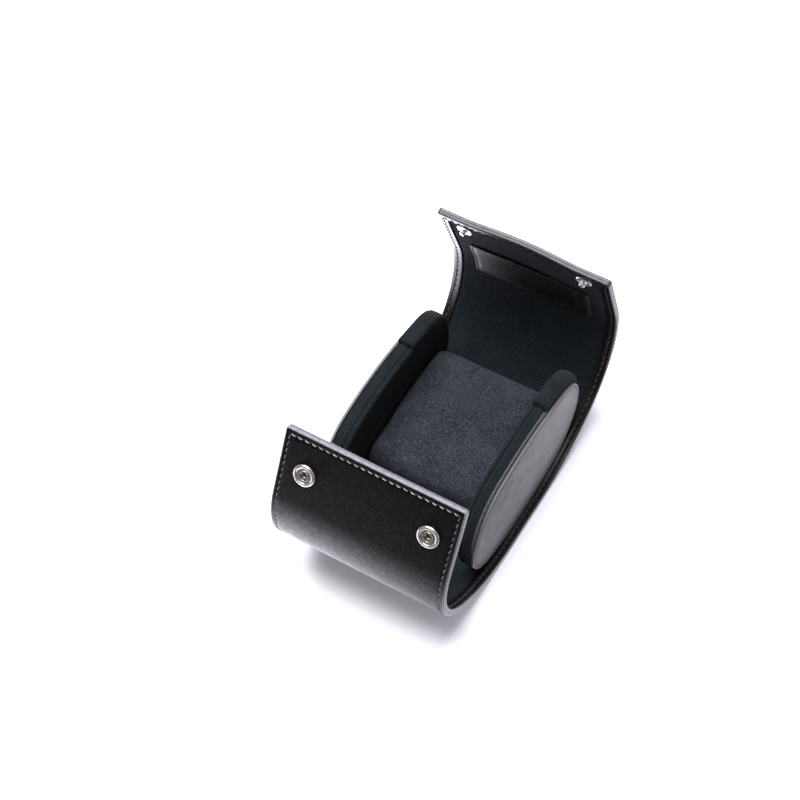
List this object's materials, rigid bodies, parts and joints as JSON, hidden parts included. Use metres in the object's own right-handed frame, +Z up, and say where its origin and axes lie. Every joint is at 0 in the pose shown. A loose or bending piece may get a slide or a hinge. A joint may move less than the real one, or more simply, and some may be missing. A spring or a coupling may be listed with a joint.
{
  "type": "watch travel case",
  "caption": "Open leather travel case for a wristwatch: a curved strip with front flap and lid, upright padded cheeks, a lift-out cushion and snap fasteners.",
  "frame": {"origin": "on the floor plane under the middle of the open case's bounding box", "axes": "+X to the right across the case, -Y towards the front flap, +Y towards the lid, +Z up"},
  "size_m": [0.084, 0.1608, 0.1063],
  "materials": {
    "outer_leather": "fine-grained black leather with a warm cast and a satin finish",
    "border_leather": "fine-grained black leather, stitched, with painted edges",
    "microsuede": "blue-black speckled microsuede",
    "cushion_microsuede": "blue-black speckled microsuede over soft padding",
    "panel_leather": "grey-mauve satin leather",
    "patch_leather": "bare stitched leather patch",
    "polished_nickel": "polished nickel-plated steel",
    "dull_nickel": "plain nickel-plated steel",
    "padding": "dense foam padding",
    "board": "stiff fibre board"
  },
  "bodies": {
    "case_base": {"base_leather": "outer_leather", "base_lining": "microsuede", "base_border": "border_leather", "cradle_board": "board", "cradle_cover": "microsuede", "left_cheek_core": "padding", "left_cheek_wrap": "microsuede", "left_cheek_rim_pad": "microsuede", "left_cheek_panel": "panel_leather", "right_cheek_core": "padding", "right_cheek_wrap": "microsuede", "right_cheek_rim_pad": "microsuede", "right_cheek_panel": "panel_leather"},
    "flap_lower": {"flap_lower_leather": "outer_leather", "flap_lower_lining": "microsuede", "flap_lower_border": "border_leather"},
    "flap_middle": {"flap_middle_leather": "outer_leather", "flap_middle_lining": "microsuede", "flap_middle_border": "border_leather"},
    "flap_upper": {"flap_upper_leather": "outer_leather", "flap_upper_lining": "microsuede", "flap_upper_border": "border_leather", "left_socket": "polished_nickel", "right_socket": "polished_nickel", "socket_eyelets": "dull_nickel"},
    "lid_lower": {"lid_lower_leather": "outer_leather", "lid_lower_lining": "microsuede", "lid_lower_border": "border_leather"},
    "lid_middle": {"lid_middle_leather": "outer_leather", "lid_middle_lining": "microsuede", "lid_middle_border": "border_leather"},
    "lid_upper": {"lid_upper_leather": "outer_leather", "lid_upper_lining": "microsuede", "lid_upper_border": "border_leather", "left_stud": "polished_nickel", "right_stud": "polished_nickel", "stud_caps": "polished_nickel", "label_patch": "patch_leather"},
    "cushion": {"cushion_cover": "cushion_microsuede", "cushion_core": "padding"}
  },
  "joints": [
    {"name": "flap_lower_fold", "type": "hinge", "parent": "case_base", "child": "flap_lower", "pos_m": [0, -0.01929, 0.00335], "axis": [-1, 0, 0], "range_deg": [0, 11.6]},
    {"name": "flap_middle_fold", "type": "hinge", "parent": "flap_lower", "child": "flap_middle", "pos_m": [0, -0.04357, 0.00876], "axis": [-1, 0, 0], "range_deg": [0, 27.7]},
    {"name": "flap_upper_fold", "type": "hinge", "parent": "flap_middle", "child": "flap_upper", "pos_m": [0, -0.06195, 0.0191], "axis": [-1, 0, 0], "range_deg": [0, 25]},
    {"name": "lid_lower_fold", "type": "hinge", "parent": "case_base", "child": "lid_lower", "pos_m": [0, 0.03483, 0.00609], "axis": [1, 0, 0], "range_deg": [0, 18]},
    {"name": "lid_middle_fold", "type": "hinge", "parent": "lid_lower", "child": "lid_middle", "pos_m": [0, 0.05711, 0.01696], "axis": [1, 0, 0], "range_deg": [0, 25.7]},
    {"name": "lid_upper_fold", "type": "hinge", "parent": "lid_middle", "child": "lid_upper", "pos_m": [0, 0.07705, 0.0568], "axis": [1, 0, 0], "range_deg": [0, 23.1]},
    {"name": "cushion_lift", "type": "slide", "parent": "case_base", "child": "cushion", "axis": [0, 0, 1], "range_m": [0, 0.02]}
  ],
  "couplings": [
    {"joint": "flap_middle_fold", "follows": "flap_lower_fold", "ratio": 2.3879},
    {"joint": "flap_upper_fold", "follows": "flap_lower_fold", "ratio": 2.1552},
    {"joint": "lid_middle_fold", "follows": "lid_lower_fold", "ratio": 1.4278},
    {"joint": "lid_upper_fold", "follows": "lid_lower_fold", "ratio": 1.2833}
  ]
}
